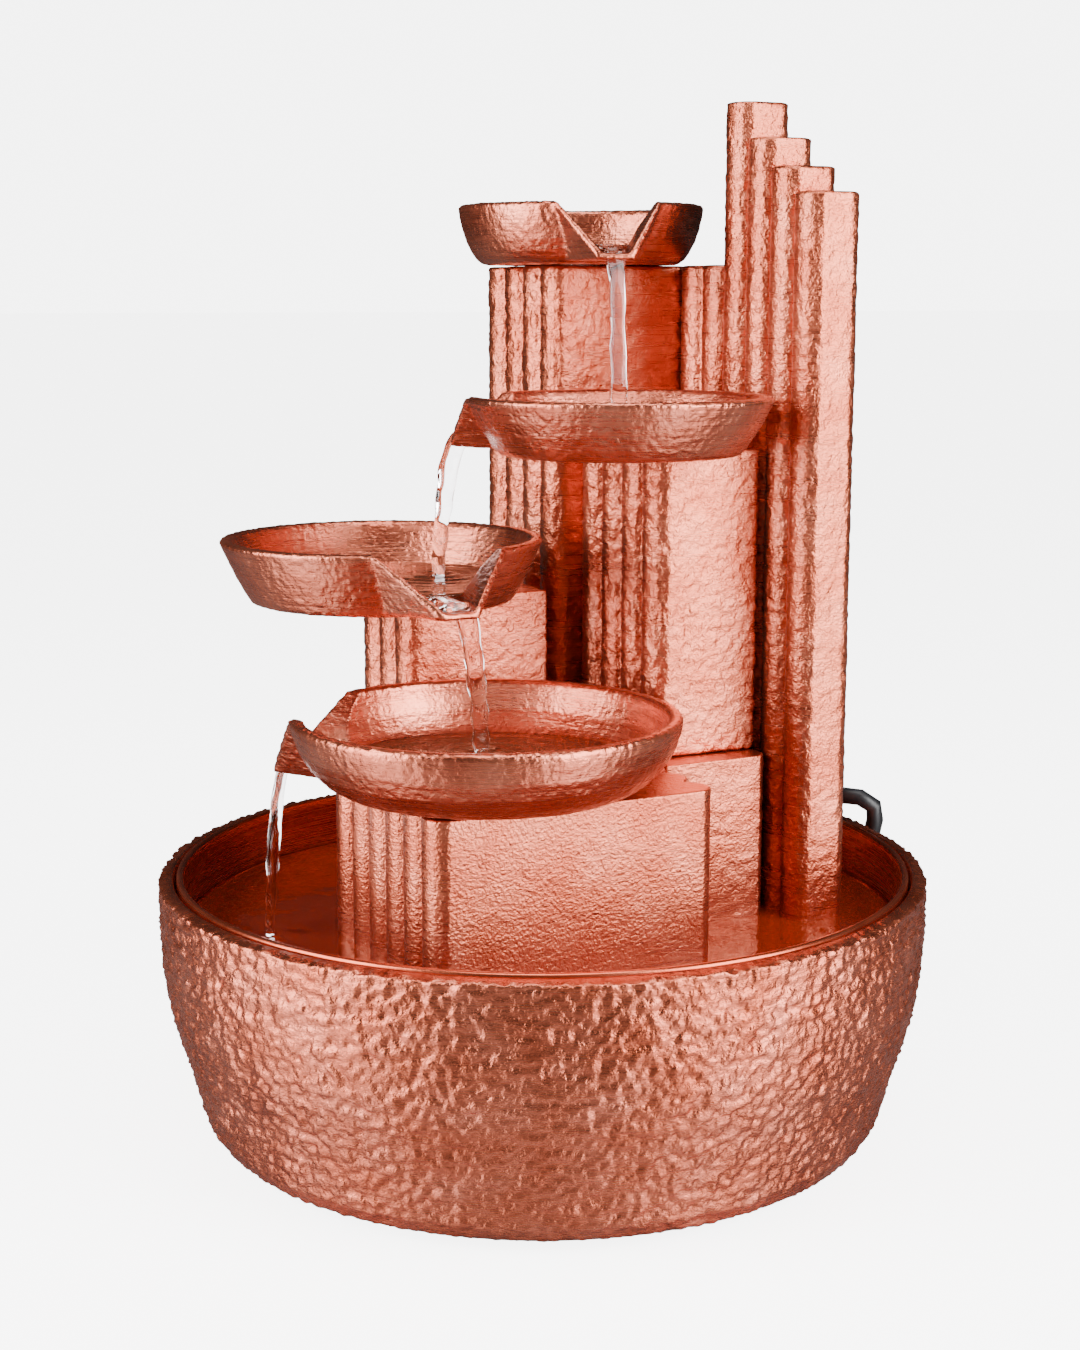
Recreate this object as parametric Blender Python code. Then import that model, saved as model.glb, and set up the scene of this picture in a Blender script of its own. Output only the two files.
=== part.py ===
"""Tabletop water fountain: a round basin, a stepped tower of fluted blocks, four spouted bowls and a pump.

Metres, +Z up.  The origin is on the table, on the basin's axis.  The flat faces of the tower look
along -Y and its flutes run up the -X and +X faces.
"""
from math import atan2, cos, pi, radians, sin

import bmesh
import bpy
from mathutils import Matrix, Vector
from mathutils.geometry import tessellate_polygon

# ---------------------------------------------------------------- driving dimensions
GAP = 0.0003                 # clearance between touching pieces
TURN_STEPS = 56              # facets round the basin
BOWL_STEPS = 56              # facets round a bowl

BASIN_R = 0.125              # outer radius of the rim
BASIN_H = 0.0860             # rim height above the table
SHELL_WALL = 0.0052          # wall of the hammered outer shell
SHELL_FLOOR = 0.0040
FOOT_H = 0.0015              # rubber pads under the shell
FOOT_R = 0.009
FOOT_CIRCLE = 0.085
LINER_PLAY = 0.0006          # play between shell and liner
LINER_WALL = 0.0024
LINER_BEAD_H = 0.0008        # how far the liner's bead stands above the shell's rim

RIB_PITCH = 0.0139           # one flute and one stair step
RIB_RISE = 0.0050            # how far a flute stands out of its face
RIB_STEPS = 8                # facets of one flute
PLATE_H = 0.0030             # plate that joins the tower's blocks
PLATE_R = 0.098

STAIR_X0, STAIR_X1 = 0.0723, 0.0834
STAIR_FRONT = -0.0490        # front face of the lowest column
STAIR_TOPS = (0.3014, 0.3097, 0.3193, 0.3313)    # lowest and nearest column first

FRONT_X0, FRONT_X1 = -0.0640, 0.0207
FRONT_Y = -0.0694
FRONT_TOP = 0.1225
LEDGE_X0, LEDGE_X1 = 0.0262, 0.0625
LEDGE_RIB_RISE = 0.0032
MIDDLE_X0, MIDDLE_X1 = 0.0322, 0.0655
MIDDLE_Y = -0.0257
LEFT_X0, LEFT_X1 = -0.0348, 0.0122
LEFT_Y = 0.0205
RISER_X0, RISER_X1 = 0.0253, 0.0698
RISER_CUT = 0.0183           # how far the riser's rear right corner is cut back, to clear the liner
TALL_TOP = 0.2798            # top of the riser column and of the rear column
RISER_WALL = 0.0030
BAY_TOP = 0.1080             # ceiling of the pump bay inside the riser column

BOWL_WALL = 0.0042
BOWL_FLOOR = 0.0028
RIM_HEIGHTS = (0.2999, 0.2394, 0.1934, 0.1463)
BOWLS = {
    # name: (centre x, centre y, rim radius, base radius, height, roundness, lip height, lip reach, heading)
    "bowl_1": (0.0387, 0.0490, 0.0418, 0.0330, 0.0198, 1.6, 0.0030, 0.0090, -104.0),
    "bowl_2": (0.0127, -0.0282, 0.0477, 0.0368, 0.0180, 1.2, 0.0040, 0.0055, 138.0),
    "bowl_3": (-0.0455, 0.0247, 0.0520, 0.0420, 0.0202, 1.12, 0.0036, 0.0105, -90.0),
    "bowl_4": (-0.0380, -0.0396, 0.0590, 0.0370, 0.0235, 1.9, 0.0046, 0.0082, 138.0),
}
NOTCH_HALF = 24.0            # half the angle that the notch takes out of the rim, in degrees
LIP_HALF = 0.0042            # half the width of the lip; its reach is how far it passes the rim circle
BEAK_WALL = 0.0028

RISER_R, RISER_BORE_R = 0.0060, 0.0046
RISER_AXIS = (0.0387, 0.0490)
PUMP_X0, PUMP_X1 = 0.0290, 0.0590
PUMP_Z0, PUMP_H = 0.0153, 0.0300
COVER_Y0, CHAMBER_Y0, MOTOR_Y0, MOTOR_Y1 = 0.0396, 0.0446, 0.0540, 0.0772
ROTOR_X, ROTOR_Z = 0.0440, 0.0303
WELL_R, WELL_DEPTH, ROTOR_R, SHAFT_R = 0.0082, 0.0195, 0.0074, 0.0010
INLET_R, HUB_R = 0.0050, 0.0034
CHAMBER_R = 0.0122

CORD_R = 0.0030
RELIEF_L = 0.0200
GLAND = (0.0480, 0.0700)     # where the cord leaves the top of the motor housing
CORD_ROUTE = (
    (0.0480, 0.0700, 0.0656), (0.0480, 0.0700, 0.0760), (0.0540, 0.0692, 0.0885), (0.0680, 0.0668, 0.0945),
    (0.0820, 0.0630, 0.0942), (0.0960, 0.0550, 0.0922), (0.1065, 0.0430, 0.0912), (0.1130, 0.0280, 0.0915),
    (0.1165, 0.0130, 0.0930), (0.1195, 0.0030, 0.0948), (0.1238, -0.0035, 0.0950), (0.1282, -0.0058, 0.0915),
    (0.1302, -0.0030, 0.0835), (0.1306, 0.0035, 0.0715), (0.1304, 0.0120, 0.0540), (0.1300, 0.0220, 0.0310),
    (0.1312, 0.0340, 0.0125), (0.1322, 0.0480, 0.0045), (0.1300, 0.0640, 0.0032), (0.1262, 0.0820, 0.0032),
    (0.1243, 0.1020, 0.0032), (0.1241, 0.1262, 0.0032),
)
COIL_CENTRE = (0.0880, 0.1480)
COIL_R = 0.0330              # mean radius of the coil's turns
COIL_HALF = 0.0062           # half the width of the bundle
COIL_H = 0.0190
PLUG_SIZE = (0.0240, 0.0360, 0.0188)
PLUG_GAP = 0.0225            # from the coil's axis, along X, to the plug's strain relief
PLUG_RELIEF_L = 0.0140


# ---------------------------------------------------------------- helpers
def clear_scene():
    for thing in list(bpy.data.objects):
        bpy.data.objects.remove(thing, do_unlink=True)


def material(name, colour, rough, metallic=0.0):
    made = bpy.data.materials.new(name)
    made.use_nodes = True
    shader = made.node_tree.nodes["Principled BSDF"]
    shader.inputs["Base Color"].default_value = (*colour, 1.0)
    shader.inputs["Roughness"].default_value = rough
    shader.inputs["Metallic"].default_value = metallic
    return made


def place(name, work, look, location=(0.0, 0.0, 0.0), smooth=True):
    """Make the object of a finished bmesh, given round the object's own origin."""
    bmesh.ops.recalc_face_normals(work, faces=work.faces)
    mesh = bpy.data.meshes.new(name)
    work.to_mesh(mesh)
    work.free()
    mesh.materials.append(look)
    if smooth:
        mesh.shade_smooth()
        mesh.set_sharp_from_angle(angle=radians(32.0))
    thing = bpy.data.objects.new(name, mesh)
    bpy.context.scene.collection.objects.link(thing)
    thing.location = location
    return thing


def add_turned(work, profile, steps, centre=(0.0, 0.0)):
    """Spin an (r, z) outline about the vertical through the centre.

    A closed outline gives a ring; one whose ends are on the axis gives a solid.
    """
    on_axis = profile[0][0] < 1e-9
    verts = [work.verts.new((centre[0] + r, centre[1], z)) for r, z in profile]
    edges = [work.edges.new(pair) for pair in zip(verts, verts[1:])]
    if not on_axis:
        edges.append(work.edges.new((verts[-1], verts[0])))
    bmesh.ops.spin(work, geom=verts + edges, cent=(centre[0], centre[1], 0.0), axis=(0, 0, 1),
                   angle=2 * pi, steps=steps, use_merge=True)
    bmesh.ops.remove_doubles(work, verts=work.verts, dist=1e-6)
    bmesh.ops.dissolve_degenerate(work, edges=work.edges, dist=1e-7)


def turned(name, profile, look, steps=24, location=(0.0, 0.0, 0.0)):
    work = bmesh.new()
    add_turned(work, profile, steps)
    return place(name, work, look, location)


def add_prism(work, outline, z0, z1):
    """A closed prism over an (x, y) outline."""
    low = [work.verts.new((x, y, z0)) for x, y in outline]
    high = [work.verts.new((x, y, z1)) for x, y in outline]
    count = len(outline)
    for i in range(count):
        j = (i + 1) % count
        work.faces.new((low[i], low[j], high[j], high[i]))
    for tri in tessellate_polygon([[Vector((x, y, 0.0)) for x, y in outline]]):
        for ring in (low, high):
            work.faces.new([ring[k] for k in tri])


def prism(name, outline, z0, z1, look):
    work = bmesh.new()
    add_prism(work, outline, z0, z1)
    return place(name, work, look)


def add_box(work, low, high):
    size = [b - a for a, b in zip(low, high)]
    mid = [(a + b) / 2 for a, b in zip(low, high)]
    bmesh.ops.create_cube(work, size=1.0, matrix=Matrix.Translation(mid) @ Matrix.Diagonal((*size, 1.0)))


def box(name, low, high, look, bevel=0.0):
    work = bmesh.new()
    add_box(work, low, high)
    if bevel:
        bmesh.ops.bevel(work, geom=work.edges[:], offset=bevel, segments=2, profile=0.5, affect="EDGES",
                        material=-1)
    return place(name, work, look)


def add_rod(work, start, end, r0, r1=None, steps=16):
    start, end = Vector(start), Vector(end)
    turn = (end - start).to_track_quat("Z", "Y").to_matrix().to_4x4()
    bmesh.ops.create_cone(work, cap_ends=True, segments=steps, radius1=r0, radius2=r0 if r1 is None else r1,
                          depth=(end - start).length, matrix=Matrix.Translation((start + end) / 2) @ turn)


def boolean(target, work, kind="DIFFERENCE"):
    """Cut a bmesh out of the target, or join it on, with a live modifier."""
    tool = place(target.name + "_tool", work, target.data.materials[0], smooth=False)
    tool.hide_render = True
    tool.display_type = "WIRE"
    step = target.modifiers.new(kind.title(), "BOOLEAN")
    step.operation = kind
    step.solver = "EXACT"
    step.object = tool
    return tool


def cut_box(target, low, high):
    work = bmesh.new()
    add_box(work, low, high)
    boolean(target, work)


def cut_rod(target, start, end, radius, steps=24):
    work = bmesh.new()
    add_rod(work, start, end, radius, steps=steps)
    boolean(target, work)


# ---------------------------------------------------------------- basin
def shell_radius(z):
    """Outer radius of the shell: upright at the top, then drawn in towards a rounded foot."""
    stations = ((FOOT_H, 0.1040), (0.0035, 0.1090), (0.0085, 0.1124), (0.0200, 0.1155), (0.0320, 0.1188),
                (0.0400, 0.1214), (0.0480, 0.1232), (0.0600, BASIN_R), (BASIN_H, BASIN_R))
    for (z0, r0), (z1, r1) in zip(stations, stations[1:]):
        if z <= z1:
            return r0 + (r1 - r0) * (z - z0) / (z1 - z0)
    return BASIN_R


WALL_HEIGHTS = (0.0085, 0.0200, 0.0320, 0.0400, 0.0480, 0.0600)


def make_basin(copper, dark_copper, rubber):
    floor = FOOT_H + SHELL_FLOOR
    lip = 0.0018
    outer = [(0.0, FOOT_H), (shell_radius(FOOT_H), FOOT_H), (shell_radius(0.0035), 0.0035)]
    outer += [(shell_radius(z), z) for z in WALL_HEIGHTS]
    outer += [(BASIN_R, BASIN_H - lip), (BASIN_R - 0.0006, BASIN_H - 0.0005), (BASIN_R - lip, BASIN_H)]
    inner = [(BASIN_R - SHELL_WALL + 0.0010, BASIN_H), (BASIN_R - SHELL_WALL, BASIN_H - 0.0010)]
    inner += [(shell_radius(z) - SHELL_WALL, z) for z in reversed(WALL_HEIGHTS)]
    inner += [(shell_radius(0.0085) - SHELL_WALL - 0.0020, floor), (0.0, floor)]
    turned("outer_shell", outer + inner, copper, TURN_STEPS)

    def liner_radius(z):
        return shell_radius(z) - SHELL_WALL - LINER_PLAY

    base = floor + GAP
    top = BASIN_H + LINER_BEAD_H
    foot_r = liner_radius(0.0085) - 0.0024
    skin = [(0.0, base), (foot_r, base)]
    skin += [(liner_radius(z), z) for z in WALL_HEIGHTS]
    skin += [(liner_radius(top), top - 0.0012), (liner_radius(top) - 0.0008, top)]
    inside = [(liner_radius(top) - LINER_WALL + 0.0008, top), (liner_radius(top) - LINER_WALL, top - 0.0012)]
    inside += [(liner_radius(z) - LINER_WALL, z) for z in reversed(WALL_HEIGHTS)]
    inside += [(foot_r - 0.0024, base + LINER_WALL), (0.0, base + LINER_WALL)]
    turned("reservoir", skin + inside, dark_copper, TURN_STEPS)

    pad = ((0.0, 0.0), (FOOT_R, 0.0), (FOOT_R, FOOT_H - GAP), (0.0, FOOT_H - GAP))
    for number in range(4):
        angle = radians(45.0 + 90.0 * number)
        turned("foot_%d" % (number + 1), pad, rubber, 20,
               (FOOT_CIRCLE * cos(angle), FOOT_CIRCLE * sin(angle), 0.0))
    return base + LINER_WALL


# ---------------------------------------------------------------- tower
def flutes(x, y0, count, side, rise=RIB_RISE):
    """Points of a row of half-round flutes from y0 towards +Y, standing out of x on the given side."""
    half = RIB_PITCH / 2
    radius = (half * half + rise * rise) / (2 * rise)
    reach = atan2(half, radius - rise)
    points = []
    for number in range(count):
        middle = y0 + RIB_PITCH * (number + 0.5)
        for step in range(RIB_STEPS + 1):
            if step == 0 and number:
                continue
            angle = -reach + 2 * reach * step / RIB_STEPS
            points.append((x + side * (rise - radius + radius * cos(angle)), middle + radius * sin(angle)))
    return points


def block_outline(x0, x1, y0, depth, left, right, rise_right=RIB_RISE):
    """A block's plan: flat front and rear, with flutes counted from the front on each side."""
    outline = flutes(x1, y0, right, 1, rise_right) if right else [(x1, y0)]
    if right * RIB_PITCH < depth - 1e-6:
        outline.append((x1, y0 + depth))
    other = flutes(x0, y0, left, -1) if left else [(x0, y0)]
    if left * RIB_PITCH < depth - 1e-6:
        other.append((x0, y0 + depth))
    return outline + other[::-1]


def make_tower(copper, floor):
    base = floor + GAP
    deck = base + PLATE_H
    foot = deck + GAP
    plate = turned("tower_base", ((0.0, base), (PLATE_R, base), (PLATE_R, deck), (0.0, deck)), copper, 48)
    bay_edge = (RISER_X0 + RISER_WALL, GAP + STAIR_FRONT + 6 * RIB_PITCH + RISER_WALL)
    cut_box(plate, (*bay_edge, 0.0), (0.2, 0.2, 0.05))

    front_depth = 6 * RIB_PITCH
    front_outline = block_outline(FRONT_X0, FRONT_X1, FRONT_Y, front_depth, 6, 6)
    prism("front_block", front_outline, foot, FRONT_TOP, copper)

    ledge_front = STAIR_FRONT + RIB_PITCH
    riser_front = STAIR_FRONT + 6 * RIB_PITCH
    ledge_depth = riser_front - GAP - ledge_front
    prism("ledge_block", block_outline(LEDGE_X0, LEDGE_X1, ledge_front, ledge_depth, 0, 4, LEDGE_RIB_RISE),
          foot, FRONT_TOP, copper)
    middle_top = RIM_HEIGHTS[1] - BOWLS["bowl_2"][4] - GAP
    prism("middle_column", block_outline(MIDDLE_X0, MIDDLE_X1, MIDDLE_Y, riser_front - GAP - MIDDLE_Y, 4, 0),
          FRONT_TOP + GAP, middle_top, copper)
    left_top = RIM_HEIGHTS[2] - BOWLS["bowl_3"][4] - GAP
    left_outline = block_outline(LEFT_X0, LEFT_X1, LEFT_Y, 3 * RIB_PITCH, 3, 0)
    prism("left_column", left_outline, foot, left_top, copper)

    for number, top in enumerate(STAIR_TOPS):
        y0 = STAIR_FRONT + number * RIB_PITCH
        outline = block_outline(STAIR_X0, STAIR_X1, y0, RIB_PITCH, 1, 1)
        outline = [(x, min(y, y0 + RIB_PITCH - GAP)) for x, y in outline]
        prism("stair_column_%d" % (number + 1), outline, foot, top, copper)
    rear_y = STAIR_FRONT + 4 * RIB_PITCH
    outline = [(x, min(y, riser_front - GAP)) for x, y in
               block_outline(STAIR_X0, STAIR_X1, rear_y, 2 * RIB_PITCH, 2, 2)]
    prism("rear_column", outline, foot, TALL_TOP, copper)

    outline = block_outline(RISER_X0, RISER_X1, riser_front, 4 * RIB_PITCH, 4, 3)
    outline = [point for point in outline if point != (RISER_X1, riser_front + 4 * RIB_PITCH)]
    outline.insert(3 * RIB_STEPS + 1, (RISER_X1 - RISER_CUT, riser_front + 4 * RIB_PITCH))
    riser = prism("riser_column", outline, foot, TALL_TOP, copper)
    rear = riser_front + 4 * RIB_PITCH - RISER_WALL
    side = RISER_X1 - RISER_WALL
    corner = RIB_PITCH - (2 - 2 ** 0.5) * RISER_WALL
    bay = [(RISER_X0 + RISER_WALL, riser_front + RISER_WALL), (side, riser_front + RISER_WALL),
           (side, rear - corner), (side - corner, rear), (RISER_X0 + RISER_WALL, rear)]
    work = bmesh.new()
    add_prism(work, bay, 0.0, BAY_TOP)
    boolean(riser, work)
    cut_rod(riser, (*RISER_AXIS, BAY_TOP - 0.01), (*RISER_AXIS, TALL_TOP + 0.01), RISER_R + 0.0008)
    cut_box(riser, (side - 0.004, GLAND[1] - 0.0100, 0.0), (side + 0.02, GLAND[1] + 0.0030, BAY_TOP - 0.001))
    work = bmesh.new()
    for low in range(4):
        z0 = foot + 0.008 + 0.009 * low
        add_box(work, (RISER_X0 - 0.01, riser_front + 0.0165, z0),
                (RISER_X0 + 0.01, riser_front + 0.040, z0 + 0.0045))
    boolean(riser, work)


# ---------------------------------------------------------------- bowls
def bowl_profile(rim_r, base_r, height, roundness):
    """(r, z) outlines of a bowl's solid outside and of the cavity in it, each from axis to axis."""
    def outer(t):
        return base_r + (rim_r - base_r) * (1.0 - (1.0 - t) ** roundness) ** (1.0 / roundness)

    levels = (0.0, 0.08, 0.20, 0.38, 0.60, 0.82)
    skin = [(0.0, 0.0)] + [(outer(t), t * height) for t in levels]
    skin += [(rim_r, height - 0.0010), (rim_r - 0.0010, height), (0.0, height)]
    floor_t = BOWL_FLOOR / height
    cavity = [(0.0, BOWL_FLOOR), (outer(floor_t) - BOWL_WALL - 0.0010, BOWL_FLOOR)]
    cavity += [(outer(t) - BOWL_WALL, t * height) for t in levels if t > floor_t + 0.05]
    cavity += [(rim_r - BOWL_WALL, height - 0.0010), (rim_r - BOWL_WALL + 0.0012, height + 0.0002)]
    cavity += [(rim_r - BOWL_WALL + 0.0012, height + 0.01), (0.0, height + 0.01)]
    return skin, cavity


def add_hull(work, half_points):
    """Convex solid round points that are mirrored across the XZ plane."""
    for x, y, z in half_points:
        for side in (-1, 1):
            work.verts.new((x, side * y, z))
    result = bmesh.ops.convex_hull(work, input=work.verts)
    bmesh.ops.delete(work, geom=[v for v in result["geom_interior"] if isinstance(v, bmesh.types.BMVert)],
                     context="VERTS")


def add_beak(work, rim_r, base_r, height, lip, reach):
    """Outside of the pouring beak, along +X: from the notch's corners down to the lip."""
    corner = radians(NOTCH_HALF)
    tip = rim_r + reach
    low = lip - 0.0022
    add_hull(work, ((rim_r * cos(corner), rim_r * sin(corner) + 0.0012, height),
                    (tip, LIP_HALF + BEAK_WALL * 0.6, low),
                    (tip - 0.0010, LIP_HALF + BEAK_WALL, lip + 0.0012),
                    (base_r * 0.85, base_r * 0.42, low), (base_r * 0.85, rim_r * 0.35, height * 0.6)))


def add_beak_inside(work, rim_r, base_r, height, lip, reach):
    corner = radians(NOTCH_HALF)
    inner = rim_r - BOWL_WALL
    tip = rim_r + reach + 0.0010
    add_hull(work, ((inner * cos(corner), inner * sin(corner), height + 0.0005), (tip, LIP_HALF, lip),
                    (tip, LIP_HALF + 0.0010, lip + 0.0035), (base_r * 0.6, base_r * 0.25, BOWL_FLOOR),
                    (base_r * 0.6, inner * 0.35, height)))


def add_notch(work, rim_r, base_r, height, lip, _reach):
    """The V that opens the beak: as wide as the notch at the rim, as narrow as the lip below."""
    half_top = rim_r * sin(radians(NOTCH_HALF))
    slope = (half_top - LIP_HALF) / (height - lip)
    above = 0.010
    add_hull(work, ((base_r * 0.6, LIP_HALF, lip), (rim_r + 0.03, LIP_HALF, lip),
                    (base_r * 0.6, half_top + slope * above, height + above),
                    (rim_r + 0.03, half_top + slope * above, height + above)))


def make_bowls(copper):
    for (name, values), rim_z in zip(BOWLS.items(), RIM_HEIGHTS):
        x, y, rim_r, base_r, height, roundness, lip, reach, heading = values
        skin, cavity = bowl_profile(rim_r, base_r, height, roundness)
        bowl = turned(name, skin, copper, BOWL_STEPS)
        shape = (rim_r, base_r, height, lip, reach)
        parts = []
        work = bmesh.new()
        add_beak(work, *shape)
        parts.append(boolean(bowl, work, "UNION"))
        work = bmesh.new()
        add_turned(work, cavity, BOWL_STEPS)
        parts.append(boolean(bowl, work))
        for cutter in (add_beak_inside, add_notch):
            work = bmesh.new()
            cutter(work, *shape)
            parts.append(boolean(bowl, work))
        if name == "bowl_1":
            work = bmesh.new()
            add_rod(work, (0, 0, -0.01), (0, 0, 0.01), RISER_R + 0.0008, steps=24)
            parts.append(boolean(bowl, work))
        for thing in [bowl] + parts:
            thing.rotation_euler.z = radians(heading)
            thing.location = (x, y, rim_z - height)


# ---------------------------------------------------------------- pump
def make_pump(plastic, steel, rubber, clear, magnet, floor):
    top = PUMP_Z0 + PUMP_H
    well_end = MOTOR_Y0 + WELL_DEPTH
    motor = box("pump_motor_housing", (PUMP_X0, MOTOR_Y0, PUMP_Z0), (PUMP_X1, MOTOR_Y1, top),
                plastic, 0.0015)
    cut_rod(motor, (ROTOR_X, MOTOR_Y0 - 0.01, ROTOR_Z), (ROTOR_X, well_end, ROTOR_Z), WELL_R)
    cut_rod(motor, (ROTOR_X, MOTOR_Y0, ROTOR_Z), (ROTOR_X, well_end + 0.0020, ROTOR_Z), SHAFT_R + GAP, 12)

    chamber = box("pump_chamber", (PUMP_X0, CHAMBER_Y0, PUMP_Z0), (PUMP_X1, MOTOR_Y0 - GAP, top),
                  plastic, 0.0008)
    work = bmesh.new()
    add_rod(work, (*RISER_AXIS, top - 0.002), (*RISER_AXIS, top + 0.012), 0.0042, 0.0038, 20)
    boolean(chamber, work, "UNION")
    cut_rod(chamber, (ROTOR_X, CHAMBER_Y0 + 0.0016, ROTOR_Z), (ROTOR_X, MOTOR_Y0 + 0.01, ROTOR_Z),
            CHAMBER_R, 28)
    cut_rod(chamber, (ROTOR_X, CHAMBER_Y0 - 0.01, ROTOR_Z), (ROTOR_X, CHAMBER_Y0 + 0.004, ROTOR_Z),
            INLET_R, 20)
    cut_rod(chamber, (*RISER_AXIS, ROTOR_Z), (*RISER_AXIS, top + 0.02), 0.0028, 16)

    cover = box("intake_cover", (PUMP_X0, COVER_Y0, PUMP_Z0), (PUMP_X1, CHAMBER_Y0 - GAP, top),
                plastic, 0.0008)
    cut_box(cover, (PUMP_X0 + 0.002, COVER_Y0 + 0.0018, PUMP_Z0 + 0.002),
            (PUMP_X1 - 0.002, CHAMBER_Y0 + 0.01, top - 0.002))
    work = bmesh.new()
    for number in range(5):
        for shift in (0.0035, 0.0225):
            z0 = PUMP_Z0 + 0.0040 + 0.0047 * number
            x0 = PUMP_X0 + shift
            add_box(work, (x0, COVER_Y0 - 0.01, z0), (x0 + 0.0040, COVER_Y0 + 0.003, z0 + 0.0022))
    boolean(cover, work)
    cut_rod(cover, (ROTOR_X, COVER_Y0 - 0.01, ROTOR_Z), (ROTOR_X, COVER_Y0 + 0.003, ROTOR_Z), 0.0026, 16)

    axis_turn = Matrix.Rotation(radians(90.0), 4, "X")
    work = bmesh.new()
    bmesh.ops.create_cone(work, cap_ends=True, segments=24, radius1=0.0062, radius2=0.0056, depth=0.0012,
                          matrix=Matrix.Translation((0, -0.0009, 0)) @ axis_turn)
    dial = place("flow_dial", work, plastic, (ROTOR_X, COVER_Y0, ROTOR_Z))
    work = bmesh.new()
    add_rod(work, (0, -0.0009, 0), (0, 0.0012, 0), 0.0022, steps=16)
    stem = boolean(dial, work, "UNION")
    stem.parent = dial

    work = bmesh.new()
    add_rod(work, (ROTOR_X, CHAMBER_Y0 + 0.0030, ROTOR_Z), (ROTOR_X, well_end + 0.0015, ROTOR_Z),
            SHAFT_R, steps=12)
    place("rotor_shaft", work, steel)

    work = bmesh.new()
    add_rod(work, (0, MOTOR_Y0 - GAP - COVER_Y0, 0), (0, well_end - 0.0010 - COVER_Y0, 0),
            ROTOR_R, steps=24)
    rotor = place("impeller", work, magnet, (ROTOR_X, COVER_Y0, ROTOR_Z))
    work = bmesh.new()
    add_rod(work, (0, CHAMBER_Y0 + 0.0042 - COVER_Y0, 0), (0, MOTOR_Y0 + 0.002 - COVER_Y0, 0),
            HUB_R, steps=16)
    tools = [boolean(rotor, work, "UNION")]
    for number in range(4):
        work = bmesh.new()
        add_box(work, (0.0015, CHAMBER_Y0 + 0.0046 - COVER_Y0, -0.0006),
                (0.0105, MOTOR_Y0 - 0.0001 - COVER_Y0, 0.0006))
        bmesh.ops.rotate(work, verts=work.verts, cent=(0, 0, 0),
                         matrix=Matrix.Rotation(radians(90 * number), 3, "Y"))
        tools.append(boolean(rotor, work, "UNION"))
    work = bmesh.new()
    add_rod(work, (0, 0, 0), (0, 0.06, 0), SHAFT_R + 0.0004, steps=12)
    tools.append(boolean(rotor, work))
    for tool in tools:
        tool.parent = rotor

    cup_top = PUMP_Z0 - floor - 2 * GAP
    cup = ((0.0, 0.0), (0.0042, 0.0), (0.0036, 0.0016), (0.0022, 0.0028), (0.0022, cup_top), (0.0, cup_top))
    spots = ((PUMP_X0 + 0.006, MOTOR_Y0 + 0.005), (PUMP_X1 - 0.006, MOTOR_Y0 + 0.005),
             (PUMP_X0 + 0.006, MOTOR_Y1 - 0.006), (PUMP_X1 - 0.006, MOTOR_Y1 - 0.006))
    for number, (x, y) in enumerate(spots):
        turned("suction_cup_%d" % (number + 1), cup, clear, 16, (x, y, floor + GAP))

    nozzle_top = RIM_HEIGHTS[0] - BOWLS["bowl_1"][4] + BOWL_FLOOR + 0.0035
    tube_foot = top + 2 * GAP
    tube = ((RISER_BORE_R, tube_foot), (RISER_R, tube_foot),
            (RISER_R, nozzle_top), (RISER_BORE_R, nozzle_top))
    turned("riser_tube", tube, clear, 24, (*RISER_AXIS, 0.0))
    relief = ((0.0, top + GAP), (0.0048, top + GAP), (0.0048, top + 0.003), (0.0042, top + 0.004),
              (0.0034, top + RELIEF_L), (0.0, top + RELIEF_L))
    turned("cord_strain_relief", relief, rubber, 16, (*GLAND, 0.0))


# ---------------------------------------------------------------- cord
def smooth_route(points, spacing):
    """Evenly spaced points on a Catmull-Rom curve through the given ones."""
    points = [Vector(p) for p in points]
    ends = [2 * points[0] - points[1]] + points + [2 * points[-1] - points[-2]]
    fine = []
    for a, b, c, d in zip(ends, ends[1:], ends[2:], ends[3:]):
        for step in range(24):
            t = step / 24.0
            fine.append(0.5 * ((2 * b) + (c - a) * t + (2 * a - 5 * b + 4 * c - d) * t * t
                               + (3 * b - a - 3 * c + d) * t * t * t))
    fine.append(points[-1])
    lengths = [0.0]
    for a, b in zip(fine, fine[1:]):
        lengths.append(lengths[-1] + (b - a).length)
    count = max(2, round(lengths[-1] / spacing))
    even, index = [], 0
    for number in range(count + 1):
        target = lengths[-1] * number / count
        while index < len(fine) - 2 and lengths[index + 1] < target:
            index += 1
        span = lengths[index + 1] - lengths[index]
        even.append(fine[index].lerp(fine[index + 1], (target - lengths[index]) / span if span else 0.0))
    return even


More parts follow.
